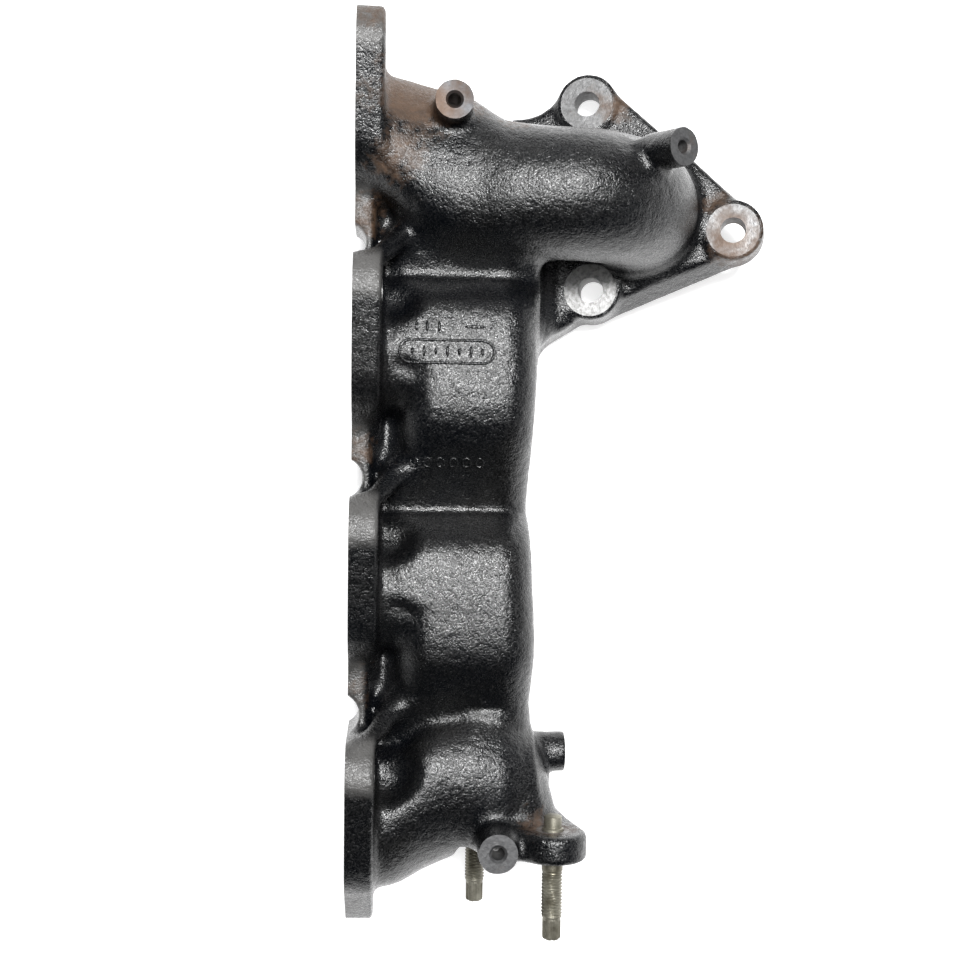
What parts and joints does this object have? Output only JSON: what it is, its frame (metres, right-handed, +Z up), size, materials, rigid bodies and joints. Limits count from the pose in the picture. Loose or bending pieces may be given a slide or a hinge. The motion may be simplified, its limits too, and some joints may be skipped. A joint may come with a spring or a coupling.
{
  "type": "exhaust manifold",
  "caption": "Cast iron log-type exhaust manifold for a turbocharged in-line engine, with port flanges, turbo outlet elbow, heat-shield bosses and a studded EGR flange.",
  "frame": {"origin": "on the head gasket plane, at port-centre height, midway between the two middle ports", "axes": "+X away from the cylinder head, +Y along the engine towards the turbo end, +Z up, square to the ports"},
  "size_m": [0.1712, 0.353, 0.0941],
  "materials": {
    "cast_iron": "sand-cast, black-brown scale and light rust, machined seats",
    "zinc_steel": "zinc plated, dulled"
  },
  "bodies": {
    "root": {"manifold_casting": "cast_iron", "egr_stud_upper": "zinc_steel", "egr_stud_lower": "zinc_steel"}
  },
  "joints": []
}
